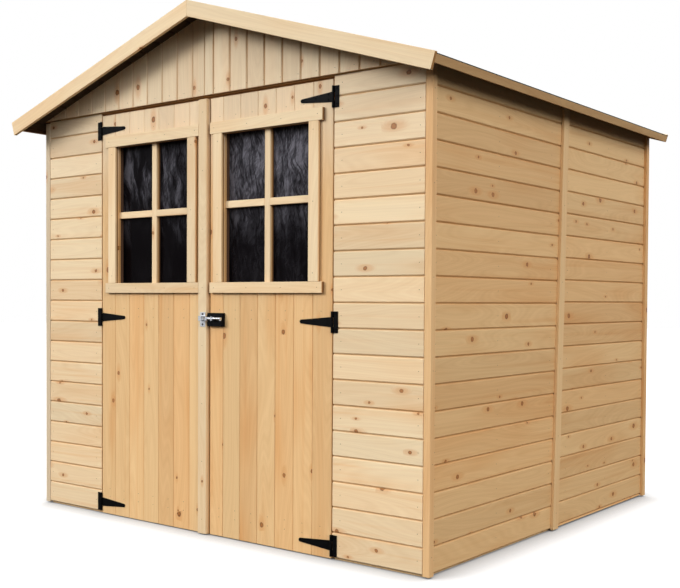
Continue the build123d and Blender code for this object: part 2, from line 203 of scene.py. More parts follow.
def spruce(name, pale, honey, spread, knots, sawn=0.0, paler_up_high=0.0, overhang_shade=0.0, silvered=0.0):
    """Spruce along each timber's own grain, with year rings, fibres, warm patches and knots, and painted
    shade in its joints, along hind edges and at sawn ends.

    spread: how far one board may be warmer than the next. knots: the share of cells with a knot.
    sawn: rough from the saw. bleached: paler towards the wall's head. dusky: painted shade, dark outside the
    walls where the roof boards reach over the eaves.
    silvered: greyer at the shed's far left.
    """
    g = Graph(name)
    grain = g.add("Attribute", {"attribute_name": "grain"}, output="Vector")
    along, across, depth = g.split(grain)
    tone = g.add("Attribute", {"attribute_name": "tone"}, output="Color")
    light, warm, joint_and_end_shade = g.split(tone)

    # a knot lies somewhere in its cell of the board's face, and its trail is longer than it is wide
    cells = {"Vector": g.vector(along / KNOT_CELL, across / KNOT_CELL), "Scale": 1.0}
    g.add("TexVoronoi", {"voronoi_dimensions": "2D"}, cells)
    middle, picked = g.also("Position"), g.also("Color")
    middle_x, middle_y, _ = g.split(middle)
    has, size, dark = g.split(picked)
    off_x = along - middle_x * KNOT_CELL
    off_y = across - middle_y * KNOT_CELL
    ragged = (g.noise(g.vector(along, across, depth), 130.0, 2.0) - 0.5) * 0.006
    away = g.math("SQRT", (off_x * 0.85) ** 2 + off_y ** 2) + ragged
    trail = g.math("SQRT", (off_x * 0.35) ** 2 + off_y ** 2)
    radius = size * size * 0.0075 + 0.0042
    knot = g.ramp(away / radius, 1.1, 0.7) * (has < knots)
    rim = g.ramp(away / radius, 0.35, 0.9) * knot
    halo = g.ramp(trail / radius, 2.4, 0.7) * (has < knots)

    # year rings are level lines of a slow field, stretched along the grain and pushed aside by knots
    slow = g.noise(g.vector(along * 0.8, across * 7.5, depth * 7.5), 1.0, 1.0, 0.4)
    field = slow + halo * 0.07
    wide = g.math("SINE", field * 95.0) * 0.5 + 0.5
    fine = g.math("SINE", field * 290.0) * 0.5 + 0.5
    fibre = g.noise(g.vector(along * 5.0, across * 320.0, depth * 320.0), 1.0, 2.0, 0.6)
    streak = g.noise(g.vector(along * 0.9, across * 42.0, depth * 42.0), 1.0, 2.0, 0.5)
    patch = g.noise(g.vector(along * 1.6, across * 7.0, depth * 7.0 + 4.0), 1.0, 1.5)

    # pale to honey wood, then paler towards the head and greyer at the far left, then its light and dark
    # lines and knots, then painted shade in joints, at ends and under the eaves
    rings = wide * 0.3 + fine * 0.25 + fibre * 0.5
    warmth = warm * spread + g.ramp(patch, 0.48, 0.75) * 0.4 + g.ramp(streak, 0.5, 0.8) * 0.35
    warmth = warmth + rings * 0.24 - 0.16
    sideways, inward, high = g.split(g.place())
    colour = g.mix(g.math("MINIMUM", g.math("MAXIMUM", warmth, 0.0), 1.0), pale, honey)
    colour = g.mix(g.ramp(high, 1.25, 1.65) * paler_up_high, colour, tint(237, 216, 184))
    colour = g.mix(g.ramp(sideways, -0.9, -1.0) * silvered, colour, tint(214, 200, 174))
    shade = light * 0.14 + 0.91 - wide * 0.025 - fine * 0.025 - (fibre - 0.5) * (0.1 + sawn * 0.15)
    colour = g.mix(1.0, colour, g.vector(shade, shade, shade), "MULTIPLY")
    colour = g.mix(halo * 0.4, colour, tint(206, 136, 70))
    colour = g.mix(knot * (dark * 0.12 + 0.84), colour, tint(160, 98, 44))
    colour = g.mix(rim * (dark * 0.5 + 0.4), colour, tint(88, 50, 18))
    # painted shade: V joints and the hind edges of trim, bars and eave boards darken with depth; sawn ends
    # get darker end grain with painted shade on it
    colour = g.mix(joint_and_end_shade * joint_and_end_shade * 0.7, colour, tint(184, 132, 74))
    colour = g.mix(g.ramp(joint_and_end_shade, 1.0, 1.6), colour, tint(84, 56, 34))
    # painted shade: roof boards outside the walls, under the eaves, go nearly black
    if overhang_shade:
        outside = g.math("MAXIMUM", g.math("ABSOLUTE", sideways) > WALL_SIDE, inward < WALL_FRONT)
        colour = g.mix(outside * overhang_shade, colour, tint(30, 20, 11))

    relief = fibre * 0.5 + wide * 0.15 + fine * 0.2 - knot * 0.6
    normal = g.bump(relief, 0.0004 + sawn * 0.0006, 0.35 + sawn * 0.4)
    rough = 0.58 + sawn * 0.2 + fibre * 0.12 - knot * 0.1
    return g.surface(base_color=colour, roughness=rough, normal=normal, specular_ior_level=0.32)


def felt_finish():
    """Bitumen felt with mineral grains."""
    g = Graph("mineral_felt")
    place = g.place()
    grains = g.noise(place, 900.0, 2.0, 0.7)
    g.add("TexVoronoi", None, {"Vector": place, "Scale": 520.0})
    chip = g.split(g.also("Color"))[0]
    blotch = g.noise(place, 3.5, 3.0)
    colour = g.mix(g.ramp(chip, 0.55, 0.95), tint(54, 56, 56), tint(116, 119, 117))
    colour = g.mix(g.ramp(blotch, 0.4, 0.7) * 0.45, colour, tint(46, 50, 47))
    normal = g.bump(grains + chip * 0.5, 0.0008, 0.8)
    return g.surface(base_color=colour, roughness=0.88, normal=normal, specular_ior_level=0.25)


def iron_finish():
    """Black satin coat over pressed steel, with a faint orange peel and rubbed spots."""
    g = Graph("black_coat")
    place = g.place()
    peel = g.noise(place, 420.0, 2.0)
    rubbed = g.ramp(g.noise(place, 60.0, 3.0, 0.6), 0.62, 0.8)
    colour = g.mix(rubbed * 0.4, tint(6, 6, 7), tint(22, 22, 24))
    rough = rubbed * 0.15 + 0.48
    normal = g.bump(peel, 0.0002, 0.4)
    return g.surface(base_color=colour, roughness=rough, normal=normal, specular_ior_level=0.05)


def brushed(g):
    """Zinc's soft grain along X: its roughness and its bump."""
    x, y, z = g.split(g.place())
    lines = g.noise(g.vector(x * 60.0, y * 1500.0, z * 1500.0), 1.0, 2.0)
    return lines * 0.15 + 0.22, g.bump(lines, 0.0001, 0.3)


def zinc_finish():
    """Bright zinc plate with a brushed grain and cloudy patches."""
    g = Graph("bright_zinc")
    rough, normal = brushed(g)
    cloud = g.noise(g.place(), 45.0, 2.0)
    colour = g.mix(cloud, tint(196, 200, 206), tint(226, 228, 232))
    return g.surface(base_color=colour, metallic=1.0, roughness=rough, normal=normal)


def bolt_finish(name, below=None, behind=None):
    """Zinc plate, coated black below a level or behind a depth."""
    g = Graph(name)
    rough, normal = brushed(g)
    _, inward, high = g.split(g.place())
    coated = (high < below) if below is not None else (inward > behind)
    bare = 1.0 - coated
    return g.surface(
        base_color=g.mix(coated, tint(214, 216, 222), tint(11, 11, 13)),
        metallic=bare,
        roughness=rough + coated * 0.2,
        normal=normal,
        specular_ior_level=bare * 0.4 + 0.05,
    )


def nail_finish():
    """Dull plated nail heads."""
    g = Graph("dull_nail")
    cloud = g.noise(g.place(), 300.0, 2.0)
    colour = g.mix(cloud, tint(112, 92, 68), tint(150, 128, 100))
    return g.surface(base_color=colour, metallic=0.6, roughness=cloud * 0.3 + 0.35)


def pane_finish():
    """Panes painted dark as shade from the dim shed behind, with a painted reflection of trees across the
    garden in faint upright streaks, fading downwards.
    """
    g = Graph("pane_painted_shade_and_reflection")
    x, _, z = g.split(g.place())
    bend = g.noise(g.vector(x * 6.0, 0.0, z * 5.0), 1.0, 2.0) * 0.12
    lean = x + z * 0.18 + bend
    slant = x - z * 0.3 + bend
    limb = g.math("ABSOLUTE", g.noise(g.vector(lean * 24.0, 3.0, z * 3.6), 1.0, 4.0, 0.62) - 0.5)
    twig = g.math("ABSOLUTE", g.noise(g.vector(slant * 44.0, 9.0, z * 16.0), 1.0, 4.0, 0.66) - 0.5)
    patch = g.ramp(g.noise(g.vector(x * 16.0, 5.0, z * 8.0), 1.0, 3.0, 0.6), 0.38, 0.62)
    gap = g.ramp(g.noise(g.vector(lean * 17.0, 7.0, z * 4.5), 1.0, 2.0, 0.55), 0.46, 0.62)
    upper = g.ramp(z, 1.1, 1.42)
    rightward = g.ramp(x, -0.45, 0.3)
    grey = (g.ramp(limb, 0.0, 0.05) * 0.7 + 0.3) * (g.ramp(twig, 0.0, 0.1) * 0.5 + 0.5) * (patch * 0.7 + 0.3)
    grey = g.math("MINIMUM", grey * (gap * (1.5 - rightward * 1.2) + rightward + 0.15), 1.0)
    # painted reflection: trees across the garden, brighter in the upper panes and to the right
    painted_reflection = grey * (upper * (rightward * 0.32 + 0.38) + rightward * 0.045 + 0.01)
    colour = g.mix(painted_reflection, tint(8, 5, 7), tint(126, 124, 133))
    return g.surface(base_color=colour, roughness=0.1, alpha=0.97, specular_ior_level=0.02, ior=1.45)


GUIDE_ROOT = 0.5 * MM  # the bolt's guides are bare zinc from this far in front of its black case
KNOB_TOP = 13 * MM  # the bolt's knob is black from this far below the bar's top
FINISH = {
    "front": spruce("front_spruce", tint(237, 213, 174), tint(228, 176, 118), 0.35, 0.4, paler_up_high=0.5),
    "door": spruce("door_spruce", tint(234, 195, 141), tint(220, 156, 90), 0.4, 0.4, paler_up_high=0.75),
    "side": spruce("side_spruce", tint(226, 187, 134), tint(210, 152, 92), 0.4, 0.38),
    "trim": spruce("trim_spruce", tint(241, 216, 176), tint(232, 186, 130), 0.2, 0.12),
    "batten": spruce("batten_spruce", tint(229, 191, 140), tint(216, 160, 102), 0.4, 0.14, silvered=0.75),
    "sawn": spruce("sawn_spruce", tint(222, 184, 132), tint(198, 146, 92), 0.5, 0.14, sawn=1.0),
    # the roof boards' dark wood is painted shade for their undersides, seen only under the roof
    "roof": spruce("roof_spruce", tint(168, 130, 86), tint(140, 98, 56), 0.5, 0.14, sawn=1.0, overhang_shade=0.9),
    "eave": spruce("eave_spruce", tint(209, 171, 120), tint(186, 140, 90), 0.4, 0.2),
    # the lining's dark brown is painted shade in the window reveals
    "lining": spruce("lining_in_painted_shade", tint(84, 58, 40), tint(58, 36, 24), 0.4, 0.0),
    "felt": felt_finish(),
    "iron": iron_finish(),
    "zinc": zinc_finish(),
    "nail": nail_finish(),
    "pane": pane_finish(),
    "bolt_case": bolt_finish("bolt_case", behind=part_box("cover_strip")[0].y - GUIDE_ROOT),
    "bolt_bar": bolt_finish("bolt_bar", below=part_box("bolt_rod")[1].z - KNOB_TOP),
}


# ---------------------------------------------------------------- bench work
def deselect():
    for obj in bpy.context.selected_objects:
        obj.select_set(False)


def activate(*objects):
    deselect()
    for obj in objects:
        obj.select_set(True)
    bpy.context.view_layer.objects.active = objects[0]


@contextmanager
def editing(obj):
    """Edit mode on one object, with all of it selected."""
    activate(obj)
    bpy.ops.object.mode_set(mode="EDIT")
    bpy.ops.mesh.select_all(action="SELECT")
    yield
    bpy.ops.object.mode_set(mode="OBJECT")


def pick_faces(obj, test):
    """Select the faces whose middle and normal pass a test."""
    bpy.ops.mesh.select_mode(type="FACE")
    bpy.ops.mesh.select_all(action="DESELECT")
    shape = bmesh.from_edit_mesh(obj.data)
    for face in shape.faces:
        face.select_set(test(face.calc_center_median(), face.normal))
    bmesh.update_edit_mesh(obj.data)


def pick_edges(obj, test):
    """Select the edges whose middle and direction pass a test."""
    bpy.ops.mesh.select_mode(type="EDGE")
    bpy.ops.mesh.select_all(action="DESELECT")
    shape = bmesh.from_edit_mesh(obj.data)
    for edge in shape.edges:
        start, end = (v.co for v in edge.verts)
        edge.select_set(test((start + end) / 2, (end - start).normalized()))
    bmesh.update_edit_mesh(obj.data)


def block(low, high, turn=(0, 0, 0)):
    """A block sawn to size, at its place."""
    deselect()
    low, high = Vector(low), Vector(high)
    bpy.ops.mesh.primitive_cube_add(size=1, location=(low + high) / 2, rotation=turn, scale=high - low)
    bpy.ops.object.transform_apply(location=True, rotation=True, scale=True)
    return bpy.context.object


def saw(obj, point, beyond):
    """Cut off what lies beyond a plane, leaving a flat face."""
    with editing(obj):
        bpy.ops.mesh.bisect(plane_co=point, plane_no=beyond, use_fill=True, clear_outer=True)


def ease(obj, width):
    """Take the sharp edges off."""
    activate(obj)
    bevel = obj.modifiers.new("eased", "BEVEL")
    bevel.width = width
    bevel.segments = 2
    bevel.limit_method = "ANGLE"
    bevel.angle_limit = math.radians(40)
    bevel.use_clamp_overlap = True
    bpy.ops.object.modifier_apply(modifier=bevel.name)


def copy_of(obj):
    """A loose copy with its own mesh and none of the node's marks."""
    twin = obj.copy()
    twin.data = obj.data.copy()
    twin.parent = None
    bpy.context.scene.collection.objects.link(twin)
    twin.hide_render = False
    for key in [k for k in twin.keys() if k.startswith("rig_")]:
        del twin[key]
    return twin


def points(obj):
    places = np.zeros(len(obj.data.vertices) * 3)
    obj.data.vertices.foreach_get("co", places)
    return places.reshape(-1, 3)


def sunk(obj, outward, deepest):
    """How far points lie behind their board's face: 0 on it, 1 near the foot of the V joint. This sets how
    much painted shade darkens them.
    """
    out = points(obj) @ np.array(outward)
    return np.clip((out.max() - out) / (0.8 * VEE), 0, deepest)


# sawn ends: darker end grain with painted shade on it
END_GRAIN_SHADE = 1.2


def sawn_ends(obj, along):
    """Dark at the points of the end faces, 0 elsewhere: darker end grain with painted shade on it."""
    dark = np.zeros(len(obj.data.vertices))
    for face in obj.data.polygons:
        if abs(face.normal.dot(along)) > 0.95:
            dark[list(face.vertices)] = END_GRAIN_SHADE
    return dark


def mark(obj, along, across, shift=None, tone=None, outward=None, ends=False, deepest=1.0):
    """Write down each point's place in its own timber, the timber's tone, and its painted shade behind the
    face and at sawn ends.
    """
    along, across = Vector(along).normalized(), Vector(across).normalized()
    axes = np.array([along, across, along.cross(across)]).T
    shift = shift or [random.uniform(3, 60) for _ in range(3)]
    tone = tone or [random.random(), random.random()]
    shade_and_ends = np.zeros(len(obj.data.vertices))
    if outward is not None:
        shade_and_ends = sunk(obj, outward, deepest)
    if ends:
        shade_and_ends = np.maximum(shade_and_ends, sawn_ends(obj, along))
    grain = obj.data.attributes.new("grain", "FLOAT_VECTOR", "POINT")
    grain.data.foreach_set("vector", (points(obj) @ axes + shift).ravel())
    hue = obj.data.attributes.new("tone", "FLOAT_COLOR", "POINT")
    columns = [np.full(len(shade_and_ends), t) for t in tone] + [shade_and_ends, shade_and_ends]
    hue.data.foreach_set("color", np.column_stack(columns).ravel())


def gather(name, parts, body, finish, replaced=()):
    """Join parts to one named piece that rides on a body."""
    activate(*parts)
    if len(parts) > 1:
        bpy.ops.object.join()
    piece = bpy.context.view_layer.objects.active
    piece.name = piece.data.name = name
    piece.data.materials.clear()
    piece.data.materials.append(FINISH[finish])
    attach(piece, body)
    for node in replaced:
        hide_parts(node)


# ---------------------------------------------------------------- tongued boards
COVER = 90 * MM
BOARD = 14 * MM
QUIRK = 0.3 * MM
VEE = 5.0 * MM
TONGUE = (6 * MM, 10 * MM)


def tongued_board(vee):
    """A metre of board along X, its face at Y 0, edges bevelled for the V joint, its tongue on top."""
    board = block((0, 0, QUIRK), (1, BOARD, COVER - QUIRK))
    with editing(board):
        for depth in TONGUE:
            bpy.ops.mesh.select_all(action="SELECT")
            bpy.ops.mesh.bisect(plane_co=(0, depth, 0), plane_no=(0, 1, 0))
        pick_faces(board, lambda c, n: n.z > 0.9 and TONGUE[0] < c.y < TONGUE[1])
        bpy.ops.mesh.extrude_region_move(TRANSFORM_OT_translate={"value": (0, 0, 3 * QUIRK)})
        pick_edges(board, lambda c, d: abs(d.x) > 0.9 and c.y < 0.1 * MM)
        bpy.ops.mesh.bevel(offset=vee, segments=1, affect="EDGES")
    return board


WALL_BOARD = tongued_board(VEE)
DOOR_BOARD = tongued_board(0.4 * VEE)


def lay(origin, along, outward, length, width=COVER, thickness=BOARD, wood=(None, None), master=WALL_BOARD):
    """One board from its lower front corner; wood is its grain's shift and its tone."""
    across = outward.cross(along)
    board = copy_of(master)
    columns = (along * length, -outward * (thickness / BOARD), across * (width / COVER))
    place = Matrix([(*row, o) for row, o in zip(zip(*columns), origin)]).to_4x4()
    board.data.transform(place)
    mark(board, along, across, *wood, outward)
    return board


def course_starts(length, first=0.0):
    """Places of the joints from the first one, with a part board before it if there is room."""
    starts = [first - COVER] if first > 1 * MM else []
    while first < length - 1 * MM:
        starts.append(first)
        first += COVER
    return starts


def clad(node, outward, along, first=0.0, cuts=()):
    """Boards in place of a slab, sawn to its edges and along further cuts."""
    low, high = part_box(node)
    across = outward.cross(along)

    def reach(axis):
        return sorted((low.dot(axis), high.dot(axis)))

    start, end = reach(along)
    foot, head = reach(across)
    face = reach(outward)[1]
    origin = along * start + across * foot + outward * face
    boards = []
    for place in course_starts(head - foot, first):
        board = lay(origin + across * place, along, outward, end - start)
        if place < 0:
            saw(board, origin, -across)
        if place + COVER > head - foot:
            saw(board, origin + across * (head - foot), across)
        for point, beyond in cuts:
            saw(board, point, beyond)
        if board.data.vertices:
            boards.append(board)
        else:
            bpy.data.objects.remove(board)
    return boards


# ---------------------------------------------------------------- walls
POST_GAP = 2.2 * MM  # the front boards stop this far inside their slab's outer end
BACK_STEP = 5.6 * MM  # foot of a side wall's back panel to its first joint


def lean_cut(node, way):
    """A side panel's leaning end, from its own corners: a point of it and its outward normal."""
    corners = points(frame["nodes"][node])
    bottom, top = corners[:, 2].min(), corners[:, 2].max()
    foot = max(p[1] * way for p in corners if p[2] < bottom + MM) * way
    head = max(p[1] * way for p in corners if p[2] > top - MM) * way
    rise = Vector((0, head - foot, top - bottom)).normalized()
    return Vector((0, foot, bottom)), Vector((0, rise.z, -rise.y)) * way


def wall(node, boards, finish):
    gather(node.replace("cladding", "boards"), boards, "shed", finish, [node])


for side, way in SIDES:
    node = f"front_{side}_cladding"
    end = EAST * way
    reach = max(corner.dot(end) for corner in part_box(node)) - POST_GAP
    wall(node, clad(node, -NORTH, EAST, cuts=[(end * reach, end)]), "front")
for side, _ in SIDES:
    node = f"back_{side}_cladding"
    wall(node, clad(node, NORTH, -EAST), "side")
for side, way in SIDES:
    for part, lean, first in (("front", 1, 0.0), ("back", -1, BACK_STEP)):
        node = f"{side}_{part}_cladding"
        wall(node, clad(node, EAST * way, NORTH * way, first, [lean_cut(node, lean)]), "side")

# ---------------------------------------------------------------- gables
GABLE_COVER = 87.5 * MM
GABLE_JOINT = -12 * MM  # the joint nearest the ridge
GABLE_NEXT = ((1, 34 * MM), (-1, -78 * MM))  # the next joint to the right and to the left of it
for node, outward, finish in (("front_gable", -NORTH, "front"), ("back_gable", NORTH, "side")):
    low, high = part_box(node)
    verge = Vector((high.x, 0, low.z - high.z)).normalized()
    across = outward.cross(UP)
    face = low.y if outward.y < 0 else high.y
    boards = []
    for way, edge in GABLE_NEXT:
        inner = GABLE_JOINT
        while inner * way < high.x - 4 * MM:
            left, right = sorted((inner, edge))
            corner = Vector((right if across.x < 0 else left, face, low.z))
            board = lay(corner, UP, outward, high.z - low.z, right - left)
            for turn in (1, -1):
                saw(board, Vector((0, 0, high.z)), Vector((-verge.z * turn, 0, verge.x)))
            boards.append(board)
            inner, edge = edge, edge + way * GABLE_COVER
    boards = [b for b in boards if b.data.vertices]
    gather(node + "_boards", boards, "shed", finish, [node])

# ---------------------------------------------------------------- door leaves
LEAF_COVER = 88.8 * MM
FIRST_LEFT = 84 * MM  # the left leaf's hinge edge to its first joint


def leaf(side, joints):
    """Upright boards of a leaf, cut round its window; joints are the lines between boards."""
    node = f"{side}_door_boards"
    low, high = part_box(node)
    pane_low, pane_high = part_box(f"{side}_window_pane")
    boards = []
    edges = [low.x, *joints, high.x]
    for left, right in zip(edges, edges[1:]):
        shift = [random.uniform(3, 60) for _ in range(3)]
        tone = [random.random(), random.random()]

        def upright(foot, head):
            corner = Vector((right, low.y, foot))
            width = right - left
            board = lay(corner, UP, -NORTH, head - foot, width, BOARD, (shift, tone), DOOR_BOARD)
            boards.append(board)
            return board

        if right < pane_low.x or left > pane_high.x:
            upright(low.z, high.z)
            continue
        upright(low.z, pane_low.z)
        upright(pane_high.z, high.z)
        if left < pane_low.x:
            saw(upright(pane_low.z, pane_high.z), pane_low, EAST)
        if right > pane_high.x:
            saw(upright(pane_low.z, pane_high.z), pane_high, -EAST)
    gather(f"{side}_door_planks", boards, f"{side}_door", "door", [node])


right_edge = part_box("right_door_boards")[1].x
left_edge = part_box("left_door_boards")[0].x
leaf("right", [right_edge - LEAF_COVER * n for n in (6, 5, 4, 3, 2, 1)])
leaf("left", [left_edge + FIRST_LEFT + LEAF_COVER * n for n in range(7)])

# ---------------------------------------------------------------- roof boards
DECK = 16 * MM
RIDGE_GAP = 0.2 * MM
RIDGE_ZONE = 10 * MM  # the decks' corners this near the middle are those at the ridge
for side, way in SIDES:
    node = f"{side}_roof_deck"
    low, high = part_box(node)
    corners = points(frame["nodes"][node])
    ridge = Vector((0, 0, corners[abs(corners[:, 0]) < RIDGE_ZONE][:, 2].min()))
    eave = min(corners.tolist(), key=lambda p: p[2])
    down = Vector((eave[0], 0, eave[2])) - ridge
    length = down.length
    down.normalize()
    under = Vector((down.z * way, 0, -down.x * way))
    run = down.cross(under)
    boards = []
    for place in course_starts(length):
        start = ridge + down * place
        start.y = low.y if run.y > 0 else high.y
        board = lay(start, run, under, high.y - low.y, COVER, DECK)
        saw(board, Vector((way * RIDGE_GAP, 0, 0)), EAST * -way)
        saw(board, ridge + down * length, down)
        boards.append(board)
    gather(f"{side}_roof_boards", boards, "shed", "roof", [node])
bpy.data.objects.remove(WALL_BOARD)
bpy.data.objects.remove(DOOR_BOARD)


# ---------------------------------------------------------------- sawn and planed timbers
def timbers(node, finish, width=1.2 * MM, outward=None, deepest=1.1):
    """A copy of a node's timbers with eased edges, each with the grain along its own length, and painted
    shade at sawn ends and, given an outward way, on hind edges.
    """
    body = frame["nodes"][node]["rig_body"]
    twin = copy_of(frame["nodes"][node])
    with editing(twin):
        bpy.ops.mesh.remove_doubles(threshold=0.01 * MM)
        bpy.ops.mesh.dissolve_limited(angle_limit=math.radians(1))
        bpy.ops.mesh.separate(type="LOOSE")
    parts = list(bpy.context.selected_objects)
    for part in sorted(parts, key=lambda p: tuple(points(p).min(0).round(4))):
        places = points(part)
        spread = places - places.mean(0)
        _, axes = np.linalg.eigh(spread.T @ spread)
        ease(part, width)
        mark(part, axes[:, 2], axes[:, 1], outward=outward, ends=True, deepest=deepest)
    gather(node + "_timber", parts, body, finish, [node])


for node in ("front_frame", "back_frame", "left_frame", "right_frame", "ridge_beam", "purlins"):
    timbers(node, "sawn", 0.8 * MM)
for side, _ in SIDES:
    timbers(f"{side}_door_ledges", "sawn")
for side, _ in SIDES:
    timbers(f"{side}_window_lining", "lining", 0.8 * MM)
for node in ("front_corner_posts", "left_middle_batten", "right_middle_batten"):
    timbers(node, "batten")
for node in ("back_corner_battens", "back_middle_batten"):
    timbers(node, "side")
# painted shade: the cover strip's sides, the eave boards' inner faces and the window surrounds' sides and
# sill undersides darken with depth behind their faces
timbers("cover_strip", "trim", outward=-NORTH, deepest=0.7)
for side, way in SIDES:
    timbers(f"{side}_eave_board", "eave", outward=slope(way)[0], deepest=2.0)
for end in ("front", "back"):
    for side, _ in SIDES:
        timbers(f"{end}_{side}_bargeboard", "trim")
for side, _ in SIDES:
    timbers(f"{side}_window_surround", "trim", 1.5 * MM, -NORTH, 1.5)

# ---------------------------------------------------------------- glazing bars
BAR = 27 * MM
BAR_DEPTH = 21 * MM
BAR_GAP = 0.3 * MM
PANE_GAP = 0.2 * MM
LEVEL_BARS = (("left", 283 * MM), ("right", 297 * MM))  # a pane's foot to the middle of its level bars
for side, height in LEVEL_BARS:
    low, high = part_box(f"{side}_window_pane")
    middle = (low.x + high.x) / 2
    level = low.z + height
    front, back = low.y - BAR_DEPTH, low.y - PANE_GAP
    bars = [
        block((middle - BAR / 2, front, low.z), (middle + BAR / 2, back, high.z)),
        block((low.x, front, level - BAR / 2), (middle - BAR / 2 - BAR_GAP, back, level + BAR / 2)),
        block((middle + BAR / 2 + BAR_GAP, front, level - BAR / 2), (high.x, back, level + BAR / 2)),
    ]
    for bar, along, across in zip(bars, (UP, EAST, EAST), (EAST, UP, UP)):
        with editing(bar):
            pick_edges(bar, lambda c, d: c.y < front + MM and abs(d.dot(along)) > 0.9)
            bpy.ops.mesh.bevel(offset=2 * MM, segments=2, affect="EDGES")
        # painted shade: each bar darkens along its sides towards the pane
        mark(bar, along, across, outward=-NORTH, deepest=1.7)
    gather(f"{side}_glazing_bars", bars, f"{side}_door", "trim")


# ---------------------------------------------------------------- nails and screws
def fastener(radius, height, recess):
    """A nail or screw head standing on the origin, facing up."""
    deselect()
    middle = (0, 0, height / 2)
    bpy.ops.mesh.primitive_cylinder_add(vertices=12, radius=radius, depth=height, location=middle)
    piece = bpy.context.object
    with editing(piece):
        if recess:
            pick_faces(piece, lambda c, n: n.z > 0.9)
            bpy.ops.mesh.inset(thickness=radius * 0.45)
            bpy.ops.transform.translate(value=(0, 0, -height * 0.5))
        pick_edges(piece, lambda c, d: c.z > height * 0.9 and abs(d.z) < 0.1)
        bpy.ops.mesh.bevel(offset=height * 0.4, segments=2, affect="EDGES")
    return piece


def fasten(name, spots, body, finish, radius=1.5 * MM, height=0.5 * MM, recess=False):
    """Heads on a surface: each spot is a point and the way the surface faces."""
    master = fastener(radius, height, recess)
    heads = []
    for point, outward in spots:
        twin = copy_of(master)
        turned = Vector(outward).to_track_quat("Z", "X").to_matrix().to_4x4()
        twin.data.transform(Matrix.Translation(point) @ turned)
        heads.append(twin)
    bpy.data.objects.remove(master)
    gather(name, heads, body, finish)


def steps(low, high, count, inset=0.0):
    """Even steps from low to high, with an inset at both ends."""
    first, last = low + inset, high - inset
    return [first + (last - first) * n / (count - 1) for n in range(count)]


def facing_front(xs, y, zs):
    """Spots on a surface that faces the front, one for each x and z."""
    return [((x, y, z), -NORTH) for x in xs for z in zs]


wall_low, wall_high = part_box("front_left_cladding")
front = wall_low.y
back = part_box("back_left_cladding")[1].y
jamb_left = wall_high.x
jamb_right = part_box("front_right_cladding")[0].x
joint_low, joint_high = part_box("right_middle_batten")

# ---------------------------------------------------------------- nails in the walls
POST_NAIL = 36 * MM  # the shed's corners to the front wall's nails
JAMB_NAIL = 34 * MM  # the doorway to the front wall's nails
BACK_NAIL = 60 * MM  # the shed's corners to the back wall's nails
SIDE_NAILS = (45 * MM, 50 * MM)  # the front and the back to a side wall's nails
JOINT_NAIL = 20 * MM  # the side walls' middle battens to the nails beside them
near = steps(front + SIDE_NAILS[0], joint_low.y - JOINT_NAIL, 3)
far = steps(joint_high.y + JOINT_NAIL, back - SIDE_NAILS[1], 3)
spots = []
for place in course_starts(wall_high.z - wall_low.z - COVER / 2):
    z = wall_low.z + (place + COVER / 2)
    spots += facing_front((-WALL_SIDE + POST_NAIL, jamb_left - JAMB_NAIL), front, [z])
    spots += facing_front((jamb_right + JAMB_NAIL, WALL_SIDE - POST_NAIL), front, [z])
    spots += [((x, back, z), NORTH) for x in steps(-WALL_SIDE, WALL_SIDE, 5, BACK_NAIL) if abs(x) > 0.1]
    for way in (-1, 1):
        spots += [((way * WALL_SIDE, y, z), EAST * way) for y in near + far]
fasten("wall_nails", spots, "shed", "nail")

# ---------------------------------------------------------------- nails in the trim
GABLE_NAILS = (120 * MM, 20 * MM)  # in from the gable's ends, and up from its foot
TRIM_LEVELS = steps(70 * MM, 1610 * MM, 6)
POST_MIDDLE = 14 * MM
BACK_BATTEN_MIDDLE = 15 * MM
BATTEN_MIDDLE = 23.5 * MM
EAVE_NAILS = (60 * MM, 18 * MM)  # in from the eave board's ends, and down from its upper edge
low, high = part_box("front_gable")
spots = facing_front(steps(low.x, high.x, 22, GABLE_NAILS[0]), low.y, [low.z + GABLE_NAILS[1]])
posts_low, posts_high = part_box("front_corner_posts")
for z in TRIM_LEVELS:
    share = (z - joint_low.z) / (joint_high.z - joint_low.z)
    lean = joint_low.y + BATTEN_MIDDLE + (joint_high.y - joint_low.y - 2 * BATTEN_MIDDLE) * share
    for way in (-1, 1):
        spots.append(((way * posts_high.x, posts_low.y + POST_MIDDLE, z), EAST * way))
        spots.append(((way * posts_high.x, back - BACK_BATTEN_MIDDLE, z), EAST * way))
        spots.append(((way * joint_high.x, lean, z), EAST * way))
    spots.append(((0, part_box("back_middle_batten")[1].y, z), NORTH))
for side, way in SIDES:
    down, over = slope(way)
    low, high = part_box(f"{side}_eave_board")
    edge = Vector((way * max(abs(low.x), abs(high.x)), 0, high.z)) - over * EAVE_NAILS[1]
    spots += [(edge + NORTH * y, down) for y in steps(low.y, high.y, 7, EAVE_NAILS[0])]
fasten("trim_nails", spots, "shed", "nail")

